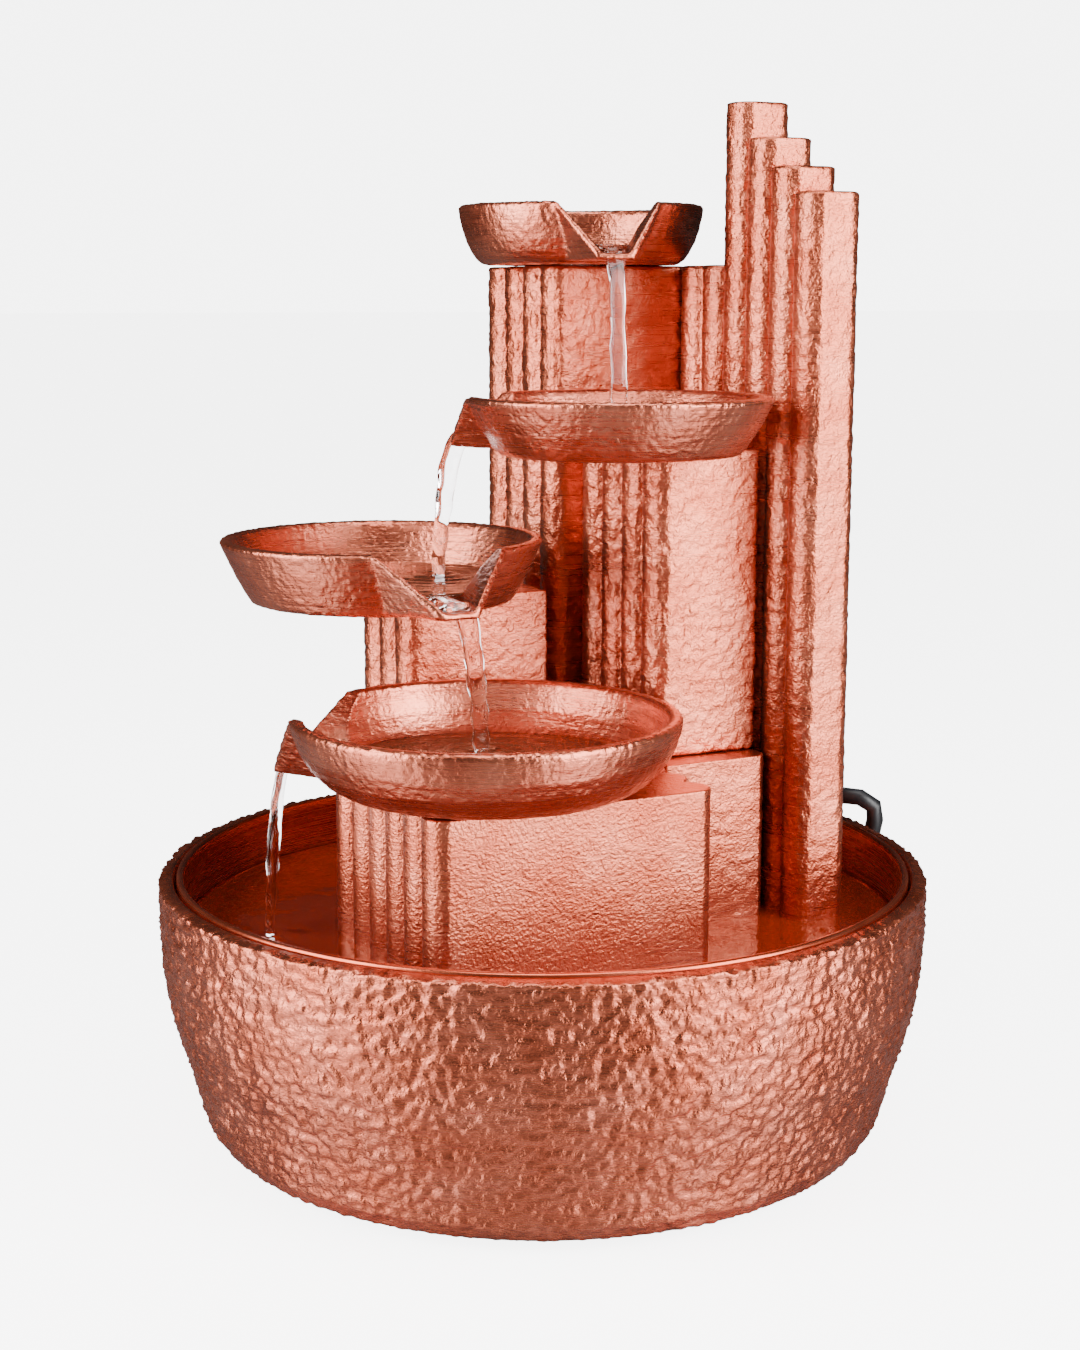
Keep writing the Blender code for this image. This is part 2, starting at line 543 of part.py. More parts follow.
def make_cord(rubber, brass):
    route = smooth_route(CORD_ROUTE, 2.2 * 2 * CORD_R)
    curve = bpy.data.curves.new("cord", "CURVE")
    curve.dimensions = "3D"
    curve.bevel_depth = CORD_R
    curve.bevel_resolution = 2
    curve.use_fill_caps = True
    spline = curve.splines.new("POLY")
    spline.points.add(len(route) - 1)
    for spot, point in zip(spline.points, route):
        spot.co = (*point, 1.0)
    curve.materials.append(rubber)
    thing = bpy.data.objects.new("cord", curve)
    bpy.context.scene.collection.objects.link(thing)

    inner, outer = COIL_R - COIL_HALF, COIL_R + COIL_HALF
    ring = ((inner, 0.0015), (inner + 0.0015, 0.0002), (outer - 0.0015, 0.0002), (outer, 0.0015),
            (outer, COIL_H - 0.0015), (outer - 0.0015, COIL_H),
            (inner + 0.0015, COIL_H), (inner, COIL_H - 0.0015))
    turned("cord_coil", ring, rubber, 32, (*COIL_CENTRE, 0.0))

    width, length, height = PLUG_SIZE
    y = COIL_CENTRE[1] + COIL_R + CORD_R
    start = COIL_CENTRE[0] - PLUG_GAP
    body = start - PLUG_RELIEF_L - GAP
    box("plug", (body - length, y - width / 2, 0.0002), (body, y + width / 2, height), rubber, 0.003)
    work = bmesh.new()
    add_rod(work, (body + GAP, y, height / 2), (start, y, height / 2), 0.0058, 0.0036, 16)
    place("plug_strain_relief", work, rubber)
    for number, shift in enumerate((-0.00635, 0.00635)):
        end = body - length - GAP
        box("plug_blade_%d" % (number + 1), (end - 0.0175, y + shift - 0.00075, height / 2 - 0.00315),
            (end, y + shift + 0.00075, height / 2 + 0.00315), brass, 0.0004)


def main():
    clear_scene()
    copper = material("hammered_copper", (0.58, 0.19, 0.11), 0.38, 0.85)
    fluted = material("fluted_copper", (0.60, 0.20, 0.12), 0.35, 0.85)
    liner = material("smooth_copper", (0.50, 0.10, 0.05), 0.30, 0.80)
    spun = material("layered_copper", (0.60, 0.21, 0.13), 0.36, 0.85)
    rubber = material("black_rubber", (0.012, 0.012, 0.014), 0.55)
    plastic = material("pump_plastic", (0.02, 0.02, 0.022), 0.45)
    clear = material("clear_tube", (0.75, 0.80, 0.82), 0.15)
    steel = material("shaft_steel", (0.60, 0.60, 0.62), 0.25, 1.0)
    magnet = material("rotor_magnet", (0.08, 0.08, 0.09), 0.40, 0.3)
    brass = material("plug_brass", (0.65, 0.45, 0.18), 0.30, 1.0)
    floor = make_basin(copper, liner, rubber)
    make_tower(fluted, floor)
    make_bowls(spun)
    make_pump(plastic, steel, rubber, clear, magnet, floor)
    make_cord(rubber, brass)


main()
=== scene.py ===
"""Looks of a tabletop water fountain printed in silk copper plastic, with its water running."""

from math import atan2, cos, exp, hypot, pi, radians, sin

import bmesh
import bpy
from mathutils import Matrix, Vector, noise


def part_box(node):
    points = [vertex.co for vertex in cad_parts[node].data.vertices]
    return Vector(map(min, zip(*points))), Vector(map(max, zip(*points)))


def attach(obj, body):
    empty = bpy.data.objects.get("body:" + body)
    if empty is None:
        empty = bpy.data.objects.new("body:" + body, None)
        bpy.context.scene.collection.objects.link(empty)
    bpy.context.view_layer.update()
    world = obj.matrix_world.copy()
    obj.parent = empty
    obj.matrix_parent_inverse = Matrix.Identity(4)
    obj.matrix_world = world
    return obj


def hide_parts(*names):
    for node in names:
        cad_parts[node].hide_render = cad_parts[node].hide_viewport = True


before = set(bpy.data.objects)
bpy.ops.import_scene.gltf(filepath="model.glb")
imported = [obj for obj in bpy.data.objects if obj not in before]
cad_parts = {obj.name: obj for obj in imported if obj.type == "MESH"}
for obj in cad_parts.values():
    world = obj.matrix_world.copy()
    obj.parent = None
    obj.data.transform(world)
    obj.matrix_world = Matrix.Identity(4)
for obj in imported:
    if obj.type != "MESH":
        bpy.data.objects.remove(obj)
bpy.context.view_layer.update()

MM = 0.001
WELD = 0.01 * MM             # points nearer than this are one


# ---------------------------------------------------------------- sizes
def span(node):
    """Lowest and highest corner of a CAD node, as vectors."""
    low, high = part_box(node)
    return Vector(low), Vector(high)


SHELL_LOW, SHELL_HIGH = span("outer_shell")
BASIN_R = (SHELL_HIGH.x - SHELL_LOW.x) / 2
BASIN_H = SHELL_HIGH.z
SHELL_STATIONS = (           # (height, outer radius) up the shell's side
    (0.0015, 0.1040), (0.0035, 0.1090), (0.0085, 0.1124), (0.0200, 0.1155), (0.0320, 0.1188),
    (0.0400, 0.1214), (0.0480, 0.1232), (0.0600, 0.1246), (0.0700, 0.1250),
)
SHELL_WALL = 0.0052
SHELL_CELL = 0.95 * MM       # one step of the shell's turned mesh
HAMMER_SINK = 0.50           # the hammering's mean depth in mm, so that its ridges stay inside the wall
CALM_FOOT = 0.008            # the height over which the hammering grows from the foot
LINER_LOW, LINER_HIGH = span("reservoir")
LINER_R = (LINER_HIGH.x - LINER_LOW.x) / 2
LINER_GAP = 0.0006           # between the shell's wall and the liner
LINER_WALL = 0.0024
LINER_FLOOR = 0.0082
WATER_LEVEL = 0.0690         # the reservoir's water

# name: (centre x, centre y, rim radius, lip height over the base, lip reach past the rim, lip's heading
# in degrees)
BOWLS = {
    "bowl_1": (0.0387, 0.0490, 0.0418, 0.0030, 0.0090, -104.0),
    "bowl_2": (0.0127, -0.0282, 0.0477, 0.0040, 0.0055, 138.0),
    "bowl_3": (-0.0455, 0.0247, 0.0520, 0.0036, 0.0105, -90.0),
    "bowl_4": (-0.0380, -0.0396, 0.0590, 0.0046, 0.0082, 138.0),
}
WATER_DEPTH_AT_LIP = 0.0030
RISER_AXIS = (0.0387, 0.0490)

CORD_R = 0.003
CORD_ROUTE = (               # out of the pump, over the rim in a tight arch, down and along the table
    (0.0480, 0.0700, 0.0656), (0.0480, 0.0700, 0.0760), (0.0540, 0.0692, 0.0885),
    (0.0680, 0.0668, 0.0945), (0.0820, 0.0630, 0.0942), (0.0960, 0.0550, 0.0922),
    (0.1065, 0.0430, 0.0912), (0.1130, 0.0280, 0.0915), (0.1165, 0.0130, 0.0930),
    (0.1195, 0.0030, 0.0948), (0.1238, -0.0035, 0.0950), (0.1282, -0.0058, 0.0915),
    (0.1302, -0.0030, 0.0835), (0.1306, 0.0035, 0.0715), (0.1304, 0.0120, 0.0540),
    (0.1300, 0.0220, 0.0310), (0.1312, 0.0340, 0.0125), (0.1322, 0.0480, 0.0045),
    (0.1300, 0.0640, 0.0032), (0.1262, 0.0820, 0.0032), (0.1243, 0.1020, 0.0032),
    (0.1241, 0.1262, 0.0032),
)
COIL_CENTRE = (0.0880, 0.1480)
COIL_OUTER, COIL_INNER = 0.0361, 0.0299      # radii of the two turns that lie side by side
COIL_LEVELS = (0.0037, 0.0098, 0.0159)       # heights of the three layers

EYE = Vector((-0.2918, -0.5929, 0.2686))
EYE_TURN, EYE_DOWN = 26.14, 10.31            # the camera's aim: degrees from +Y towards +X, and down
EYE_LENS = 55.1


# ---------------------------------------------------------------- materials
def linear(hex_colour):
    """sRGB hex to the linear values that the shader takes."""
    channels = [int(hex_colour[i:i + 2], 16) / 255.0 for i in (1, 3, 5)]
    return [c / 12.92 if c <= 0.04045 else ((c + 0.055) / 1.055) ** 2.4 for c in channels] + [1.0]


def new_material(name, **values):
    """A material with its tree and its shader; values are set on the shader's own sockets."""
    made = bpy.data.materials.new(name)
    made.use_nodes = True
    shader = made.node_tree.nodes["Principled BSDF"]
    for socket, value in values.items():
        shader.inputs[socket.replace("_", " ")].default_value = value
    return made, made.node_tree, shader


def add(tree, kind, settings=None, stops=(), **links):
    """Adds a node. Settings are its own properties and socket values, stops are a colour ramp's places
    with a hex colour or a grey, and links feed its sockets, by name or as i and a number."""
    node = tree.nodes.new(kind)
    for key, value in (settings or {}).items():
        if isinstance(key, str) and hasattr(node, key):
            setattr(node, key, value)
        else:
            node.inputs[key].default_value = value
    for _ in stops[2:]:
        node.color_ramp.elements.new(0.5)
    for number, (place, colour) in enumerate(stops):
        element = node.color_ramp.elements[number]
        element.position = place
        element.color = linear(colour) if isinstance(colour, str) else (colour, colour, colour, 1.0)
    for key, source in links.items():
        index = int(key[1:]) if key[0] == "i" and key[1:].isdigit() else key.replace("_", " ")
        tree.links.new(source, node.inputs[index])
    return node


BLOTCH_MM = 16.0             # patches where the filament's pigment is denser
CLOUD_MM = 7.0               # faint mottling of a moulded surface
RIPPLE_MM = 7.0              # small waves on standing water
STREAM_RIPPLE_MM = 9.0
PAPER_CLOUD_MM = 400.0       # broad unevenness of the studio paper
PER_MM = 1.0 / MM            # a pattern scale of one feature per millimetre


def silk_copper(name, deep, mid, pale, roughness, skin_mm, skin_depth, layer_depth):
    """Silk PLA in copper: a metallic sheen under a clear, slightly red plastic. It is printed in thin
    flat layers, which show as fine level lines, and its outer skin is jittered into small soft
    dimples."""
    made, tree, shader = new_material(name, Metallic=0.94, Roughness=roughness, Coat_Weight=0.10,
                                      Coat_Roughness=0.22)
    places = add(tree, "ShaderNodeTexCoord").outputs["Object"]
    blotches = add(tree, "ShaderNodeTexNoise", {"Scale": PER_MM / BLOTCH_MM, "Detail": 3.0},
                   Vector=places)
    colour = add(tree, "ShaderNodeValToRGB", stops=((0.30, deep), (0.52, mid), (0.74, pale)),
                 Fac=blotches.outputs["Fac"])
    # Level streaks, 0.6 mm high and about 30 mm long, where the sheen changes from layer to layer.
    long_places = add(tree, "ShaderNodeMapping",
                      {"Scale": (0.035 * PER_MM, 0.035 * PER_MM, 1.6 * PER_MM)}, Vector=places)
    streaks = add(tree, "ShaderNodeTexNoise", {"Scale": 1.0, "Detail": 2.0},
                  Vector=long_places.outputs["Vector"])
    streak_shade = add(tree, "ShaderNodeValToRGB", stops=((0.32, 0.80), (0.68, 1.0)),
                       Fac=streaks.outputs["Fac"])
    tinted = add(tree, "ShaderNodeMix", {"data_type": "RGBA", "blend_type": "MULTIPLY", 0: 0.75},
                 i6=colour.outputs["Color"], i7=streak_shade.outputs["Color"])
    tree.links.new(tinted.outputs[2], shader.inputs["Base Color"])
    shine = add(tree, "ShaderNodeMapRange", {"To Min": roughness - 0.05, "To Max": roughness + 0.09},
                Value=streaks.outputs["Fac"])
    tree.links.new(shine.outputs["Result"], shader.inputs["Roughness"])
    skin = add(tree, "ShaderNodeTexNoise", {"Scale": PER_MM / skin_mm, "Detail": 3.0, "Roughness": 0.55},
               Vector=places)
    skin_bump = add(tree, "ShaderNodeBump", {"Strength": 1.0, "Distance": skin_depth * MM},
                    Height=skin.outputs["Fac"])
    # Real layers are 0.2 mm; they are drawn 0.6 mm apart so that they show.
    layer_places = add(tree, "ShaderNodeMapping",
                       {"Scale": (0.06 * PER_MM, 0.06 * PER_MM, 1.7 * PER_MM)}, Vector=places)
    layers = add(tree, "ShaderNodeTexNoise", {"Scale": 1.0, "Detail": 1.0},
                 Vector=layer_places.outputs["Vector"])
    layer_bump = add(tree, "ShaderNodeBump", {"Strength": 1.0, "Distance": layer_depth * MM},
                     Height=layers.outputs["Fac"], Normal=skin_bump.outputs["Normal"])
    tree.links.new(layer_bump.outputs["Normal"], shader.inputs["Normal"])
    return made


# name, three shades, roughness, then in mm the dimples' size and depth and the layers' depth
HAMMERED_SILK = silk_copper("hammered_silk_pla", "#B5573B", "#C6674B", "#D6775C", 0.25, 1.2, 0.40, 0.015)
FUZZY_SILK = silk_copper("fuzzy_silk_pla", "#C05C40", "#D06C4E", "#DE7C5E", 0.27, 1.0, 0.42, 0.02)
LAYERED_SILK = silk_copper("layered_silk_pla", "#C06046", "#D07054", "#DE8064", 0.26, 1.6, 0.35, 0.08)
SMOOTH_SILK = silk_copper("smooth_silk_pla", "#BC5236", "#CA6042", "#D66E50", 0.25, 3.0, 0.08, 0.03)


def still_water(name, painted_copper_glow, cloud):
    """The top of standing water: it mirrors at a glance and shows the warm copper under it as a painted
    glow, a matt copper colour mixed into its body, with cloud as that colour's share."""
    made, tree, shader = new_material(name)
    tree.nodes.remove(shader)
    places = add(tree, "ShaderNodeTexCoord").outputs["Object"]
    ripples = add(tree, "ShaderNodeTexNoise", {"Scale": PER_MM / RIPPLE_MM, "Detail": 2.0},
                  Vector=places)
    bump = add(tree, "ShaderNodeBump", {"Strength": 0.5, "Distance": 0.5 * MM},
               Height=ripples.outputs["Fac"])
    tint = add(tree, "ShaderNodeValToRGB", stops=((0.3, "#F3D3C6"), (0.7, "#FBE6DC")),
               Fac=ripples.outputs["Fac"])
    through = add(tree, "ShaderNodeBsdfTransparent", Color=tint.outputs["Color"])
    mirror = add(tree, "ShaderNodeBsdfGlossy", {"Roughness": 0.03, "Color": (0.95, 0.92, 0.93, 1.0)},
                 Normal=bump.outputs["Normal"])
    share = add(tree, "ShaderNodeFresnel", {"IOR": 1.36}, Normal=bump.outputs["Normal"])
    # painted light: a matt copper colour that stands in for the lit copper seen under the water
    glow = add(tree, "ShaderNodeBsdfDiffuse", {"Color": linear(painted_copper_glow)})
    body = add(tree, "ShaderNodeMixShader", {0: cloud}, i1=through.outputs[0], i2=glow.outputs[0])
    both = add(tree, "ShaderNodeMixShader", i0=share.outputs[0], i1=body.outputs[0],
               i2=mirror.outputs[0])
    tree.links.new(both.outputs[0], tree.nodes["Material Output"].inputs["Surface"])
    return made


def running_water(name):
    """Running tap water: clear, glossy and free of colour; small ripples bend what is behind it."""
    made, tree, shader = new_material(name, Transmission_Weight=1.0, IOR=1.333, Roughness=0.0)
    places = add(tree, "ShaderNodeTexCoord").outputs["Object"]
    ripples = add(tree, "ShaderNodeTexNoise", {"Scale": PER_MM / STREAM_RIPPLE_MM, "Detail": 2.0},
                  Vector=places)
    shade = add(tree, "ShaderNodeValToRGB", stops=((0.3, "#F4F0F2"), (0.7, "#FFFFFF")),
                Fac=ripples.outputs["Fac"])
    tree.links.new(shade.outputs["Color"], shader.inputs["Base Color"])
    bump = add(tree, "ShaderNodeBump", {"Strength": 0.6, "Distance": 0.4 * MM},
               Height=ripples.outputs["Fac"])
    tree.links.new(bump.outputs["Normal"], shader.inputs["Normal"])
    return made


def moulded(name, deep, pale, roughness, grain_mm, depth, **values):
    """Moulded plastic or rubber with the fine spark-eroded grain of its mould, and a little handling
    shine."""
    made, tree, shader = new_material(name, Roughness=roughness, **values)
    places = add(tree, "ShaderNodeTexCoord").outputs["Object"]
    cloud = add(tree, "ShaderNodeTexNoise", {"Scale": PER_MM / CLOUD_MM, "Detail": 4.0},
                Vector=places)
    colour = add(tree, "ShaderNodeValToRGB", stops=((0.3, deep), (0.7, pale)), Fac=cloud.outputs["Fac"])
    tree.links.new(colour.outputs["Color"], shader.inputs["Base Color"])
    shine = add(tree, "ShaderNodeMapRange", {"To Min": roughness - 0.06, "To Max": roughness + 0.10},
                Value=cloud.outputs["Fac"])
    tree.links.new(shine.outputs["Result"], shader.inputs["Roughness"])
    grain = add(tree, "ShaderNodeTexNoise", {"Scale": PER_MM / grain_mm, "Detail": 2.0},
                Vector=places)
    bump = add(tree, "ShaderNodeBump", {"Strength": 1.0, "Distance": depth * MM},
               Height=grain.outputs["Fac"])
    tree.links.new(bump.outputs["Normal"], shader.inputs["Normal"])
    return made


def metal(name, deep, pale, roughness, brushed_along):
    """Bare metal drawn or ground along one way, which leaves fine lines, 0.17 mm apart and about 7 mm
    long, that stretch its highlights."""
    made, tree, shader = new_material(name, Metallic=1.0, Roughness=roughness)
    places = add(tree, "ShaderNodeTexCoord").outputs["Object"]
    drawn = [(0.15 if axis == brushed_along else 6.0) * PER_MM for axis in "xyz"]
    drawn_places = add(tree, "ShaderNodeMapping", {"Scale": drawn}, Vector=places)
    lines = add(tree, "ShaderNodeTexNoise", {"Scale": 1.0, "Detail": 3.0},
                Vector=drawn_places.outputs["Vector"])
    colour = add(tree, "ShaderNodeValToRGB", stops=((0.3, deep), (0.7, pale)), Fac=lines.outputs["Fac"])
    tree.links.new(colour.outputs["Color"], shader.inputs["Base Color"])
    shine = add(tree, "ShaderNodeMapRange", {"To Min": roughness - 0.06, "To Max": roughness + 0.08},
                Value=lines.outputs["Fac"])
    tree.links.new(shine.outputs["Result"], shader.inputs["Roughness"])
    bump = add(tree, "ShaderNodeBump", {"Strength": 0.5, "Distance": 0.02 * MM},
               Height=lines.outputs["Fac"])
    tree.links.new(bump.outputs["Normal"], shader.inputs["Normal"])
    return made


CLEAR_WATER = running_water("clear_water")
# name, the painted glow of the lit copper under the water, and that painted glow's share
BOWL_POOL = still_water("shallow_water", "#D0704E", 0.16)
RESERVOIR_POOL = still_water("deep_water", "#B23A20", 0.45)
# name, two shades, roughness, size and depth of the grain in mm
PUMP_PLASTIC = moulded("moulded_abs", "#0F0F11", "#1A1A1D", 0.42, 0.5, 0.03)
CORD_PVC = moulded("cord_pvc", "#0E0E10", "#17171A", 0.40, 0.8, 0.03)
PAD_RUBBER = moulded("pad_rubber", "#1B1B1C", "#29292A", 0.70, 0.6, 0.06)
CLEAR_PVC = moulded("clear_pvc", "#DDE6E8", "#F2F7F8", 0.14, 3.0, 0.04,
                    Transmission_Weight=0.85, IOR=1.53)
FERRITE = moulded("ferrite_plastic", "#26262A", "#38383E", 0.48, 0.4, 0.03)
SHAFT_STEEL = metal("ground_steel", "#8F9297", "#C2C5C9", 0.22, "y")
BLADE_BRASS = metal("rolled_brass", "#A9853E", "#D3AF62", 0.26, "x")


# ---------------------------------------------------------------- making pieces
def finish_piece(name, work, body, material, replaced=()):
    """Turns a bmesh into an object that rides on a body, in place of any CAD nodes that it replaces."""
    mesh = bpy.data.meshes.new(name)
    work.to_mesh(mesh)
    work.free()
    for face in mesh.polygons:
        face.use_smooth = True
    piece = bpy.data.objects.new(name, mesh)
    bpy.context.scene.collection.objects.link(piece)
    mesh.materials.append(material)
    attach(piece, body)
    if replaced:
        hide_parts(*replaced)
    return piece


def apply_modifiers(piece):
    """Writes a piece's modifiers into its mesh, so that its own vertices can be worked on."""
    seen = piece.evaluated_get(bpy.context.evaluated_depsgraph_get())
    done = bpy.data.meshes.new_from_object(seen)
    piece.modifiers.clear()
    piece.data = done


def fine_copy(node, body, material, cell, rounds):
    """A finely and evenly meshed copy of a CAD node, its corners eased as a printed corner is."""
    work = bmesh.new()
    work.from_mesh(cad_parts[node].data)
    bmesh.ops.remove_doubles(work, verts=work.verts, dist=WELD)
    piece = finish_piece(node + "_skin", work, body, material, (node,))
    even = piece.modifiers.new("even", "REMESH")
    even.mode, even.voxel_size, even.adaptivity = "VOXEL", cell, 0.0
    ease = piece.modifiers.new("ease", "SMOOTH")
    ease.factor, ease.iterations = 0.5, rounds
    apply_modifiers(piece)
    for face in piece.data.polygons:
        face.use_smooth = True
    return piece


def push(piece, height):
    """Moves each vertex along its normal by height(place, normal)."""
    mesh = piece.data
    normals = [v.normal.copy() for v in mesh.vertices]
    for vertex, normal in zip(mesh.vertices, normals):
        vertex.co += normal * height(vertex.co, normal)
    mesh.update()


def soft_noise(place, size):
    """Smooth noise from about -1 to 1, whose bumps are about size across."""
    return noise.noise(place / size)


# ---------------------------------------------------------------- basin
def shell_radius(z):
    """Outer radius of the basin at a height: a rounded foot, a widening side and a straight band under
    the rim."""
    for (z0, r0), (z1, r1) in zip(SHELL_STATIONS, SHELL_STATIONS[1:]):
        if z <= z1:
            t = max(0.0, (z - z0) / (z1 - z0))
            return r0 + (r1 - r0) * t
    return SHELL_STATIONS[-1][1]


def spin_profile(profile, steps):
    """A closed turned solid from (radius, height) points that begin and end on the axis."""
    work = bmesh.new()
    verts = [work.verts.new((r, 0.0, z)) for r, z in profile]
    edges = [work.edges.new(pair) for pair in zip(verts, verts[1:])]
    bmesh.ops.spin(work, geom=verts + edges, cent=(0, 0, 0), axis=(0, 0, 1), angle=2 * pi, steps=steps,
                   use_merge=True)
    bmesh.ops.remove_doubles(work, verts=work.verts, dist=WELD)
    bmesh.ops.recalc_face_normals(work, faces=work.faces)
    return work


def make_shell():
    """The basin's outer shell: a turned wall whose outside is hammered all over."""
    base = SHELL_STATIONS[0][0]
    wall_rows, foot_rows = 84, 8
    first_row, last_row = base + 0.2 * MM, BASIN_H - 1.0 * MM
    heights = [first_row + (last_row - first_row) * i / wall_rows for i in range(wall_rows + 1)]
    outside = [(0.0, base)] + [(shell_radius(base) * i / foot_rows, base) for i in range(1, foot_rows)]
    outside += [(shell_radius(z), z) for z in heights]
    inner_r = BASIN_R - SHELL_WALL + 0.4 * MM
    rim = [(BASIN_R - 0.6 * MM, BASIN_H - 0.4 * MM), (BASIN_R - 2.0 * MM, BASIN_H),
           (inner_r + 0.6 * MM, BASIN_H), (inner_r, BASIN_H - 0.6 * MM)]
    inner_heights = (0.080, 0.070, 0.060, 0.048, 0.040, 0.032, 0.020, 0.010)
    inside = [(shell_radius(z) - SHELL_WALL, z) for z in inner_heights]
    floor = [(0.0, base + 4.0 * MM)]
    steps = round(2 * pi * BASIN_R / SHELL_CELL)
    turned = spin_profile(outside + rim + inside + floor, steps)
    shell = finish_piece("shell", turned, "basin", HAMMERED_SILK, ("outer_shell",))

    def hammer(place, normal):
        """Pits and ridges 1 to 2 mm across on slow waves, half as deep at the foot."""
        out = hypot(place.x, place.y)
        if out < shell_radius(place.z) - 0.6 * SHELL_WALL or place.z < base + 0.4 * MM:
            return 0.0
        calm = 1.0 - 0.5 * exp(-((place.z - base) / CALM_FOOT) ** 2)
        stretched = Vector((place.x, place.y, place.z * 1.25))
        pits = soft_noise(stretched, 2.3 * MM) * 1.00 + soft_noise(stretched, 1.4 * MM) * 0.40
        waves = soft_noise(stretched, 5.5 * MM) * 0.35
        return (pits + waves - HAMMER_SINK) * MM * calm

    push(shell, hammer)


def make_liner():
    """The reservoir: a thin smooth tub whose rolled bead stands just over the shell's rim."""
    floor_rows, wall_rows, steps = 20, 32, 220
    floor_r = 0.100
    bead_z = LINER_HIGH.z
    wall_top = bead_z - 1.0 * MM
    inner = [(floor_r * i / floor_rows, LINER_FLOOR) for i in range(floor_rows + 1)]
    for i in range(1, wall_rows + 1):
        z = LINER_FLOOR + (wall_top - LINER_FLOOR) * i / wall_rows
        inner.append((shell_radius(z) - SHELL_WALL - LINER_GAP - LINER_WALL, z))
    top_r = inner[-1][0]
    bead = [(top_r + 0.4 * MM, bead_z - 0.3 * MM), (top_r + 1.0 * MM, bead_z),
            (LINER_R - 0.8 * MM, bead_z), (LINER_R - 0.2 * MM, bead_z - 0.4 * MM),
            (LINER_R, bead_z - 1.1 * MM)]
    outer_heights = (0.078, 0.070, 0.060, 0.048, 0.040, 0.032, 0.020, 0.011)
    outside = [(shell_radius(z) - SHELL_WALL - LINER_GAP, z) for z in outer_heights]
    profile = inner + bead + outside + [(0.0, LINER_FLOOR - LINER_WALL)]
    liner = finish_piece("liner", spin_profile(profile, steps), "basin", SMOOTH_SILK, ("reservoir",))
    push(liner, lambda place, normal: soft_noise(place, 5.0 * MM) * 0.05 * MM)


# ---------------------------------------------------------------- tower
TOP_FACE = 0.8               # a normal steeper than this belongs to a top or an underside
FLAT_FACE = 0.97             # a normal nearer to x or y than this belongs to a flat face
SKIN_SINK = 0.1 * MM         # keeps the lumps inside the block's outline


def make_tower():
    """Fluted columns: printed blocks whose faces carry the fuzzy skin, with slightly ragged ribs."""
    blocks = {               # name: (mesh cell, depth of the skin), in mm
        "front_block": (0.90, 0.05), "ledge_block": (0.90, 0.18), "middle_column": (0.90, 0.30),
        "left_column": (0.90, 0.24), "stair_column_1": (0.75, 0.18), "stair_column_2": (0.75, 0.20),
        "stair_column_3": (0.75, 0.20), "stair_column_4": (0.75, 0.20), "rear_column": (0.80, 0.20),
        "riser_column": (1.00, 0.32), "tower_base": (1.40, 0.05),
    }
    for node, (cell, depth) in blocks.items():
        piece = fine_copy(node, "tower", FUZZY_SILK, cell * MM, 1)

        def fuzz(place, normal, depth=depth):
            """Lumps 1 to 2 mm across, deeper on the flutes; tops and undersides are nearly smooth."""
            if abs(normal.z) > TOP_FACE:
                return soft_noise(place, 2.0 * MM) * 0.04 * MM
            drawn = Vector((place.x, place.y, place.z * 0.9))
            lumps = soft_noise(drawn, 2.0 * MM) + 0.5 * soft_noise(drawn, 1.3 * MM)
            on_flute = max(abs(normal.x), abs(normal.y)) < FLAT_FACE
            return lumps * (1.6 if on_flute else 1.35) * depth * MM - SKIN_SINK

        push(piece, fuzz)


# ---------------------------------------------------------------- bowls
RIM_BAND = 0.0016            # how far down from its top a rim is rough


def make_bowls():
    """Thin spouted dishes, lightly uneven outside, smooth inside and a little rough along the rim."""
    for node, (cx, cy, rim_r, *_) in BOWLS.items():
        rim_z = span(node)[1].z
        piece = fine_copy(node, "tower", LAYERED_SILK, 0.70 * MM, 5)

        def weather(place, normal, cx=cx, cy=cy, rim_r=rim_r, rim_z=rim_z):
            out = hypot(place.x - cx, place.y - cy)
            inside = normal.x * (place.x - cx) + normal.y * (place.y - cy) < 0 and out < rim_r
            around = Vector((place.x, place.y, place.z * 4.0))
            lumps = soft_noise(around, 9.0 * MM) * 0.06
            lumps += soft_noise(place, 1.9 * MM) * (0.05 if inside else 0.19)
            if place.z > rim_z - RIM_BAND:
                lumps += soft_noise(place, 1.4 * MM) * 0.22
            return lumps * MM

        push(piece, weather)


# ---------------------------------------------------------------- water
DISC_SEGMENTS = 96
STREAM_SEGMENTS = 20
FALL_STEPS, RUN_IN_STEPS = 64, 6
RUN_IN = 0.012               # how far back over the bowl a stream begins
RUN_IN_RISE = 0.0004
LIP_OVERLAP = 0.0045         # the fall begins this far inside the lip's tip

# where each stream lands: (x, y, how far its rings reach, their height, their spacing)
LANDINGS = {
    "bowl_1": (RISER_AXIS[0], RISER_AXIS[1], 0.012, 1.1 * MM, 0.0085),
    "bowl_2": (0.0270, -0.0010, 0.012, 0.7 * MM, 0.0065),
    "bowl_3": (-0.0260, 0.0250, 0.012, 0.8 * MM, 0.0065),
    "bowl_4": (-0.0310, -0.0205, 0.012, 0.8 * MM, 0.0065),
    "reservoir": (-0.0900, 0.0140, 0.016, 0.9 * MM, 0.0075),
}
POOL_INSET = {"bowl_1": 0.0062, "bowl_2": 0.0078, "bowl_3": 0.0078, "bowl_4": 0.0108}

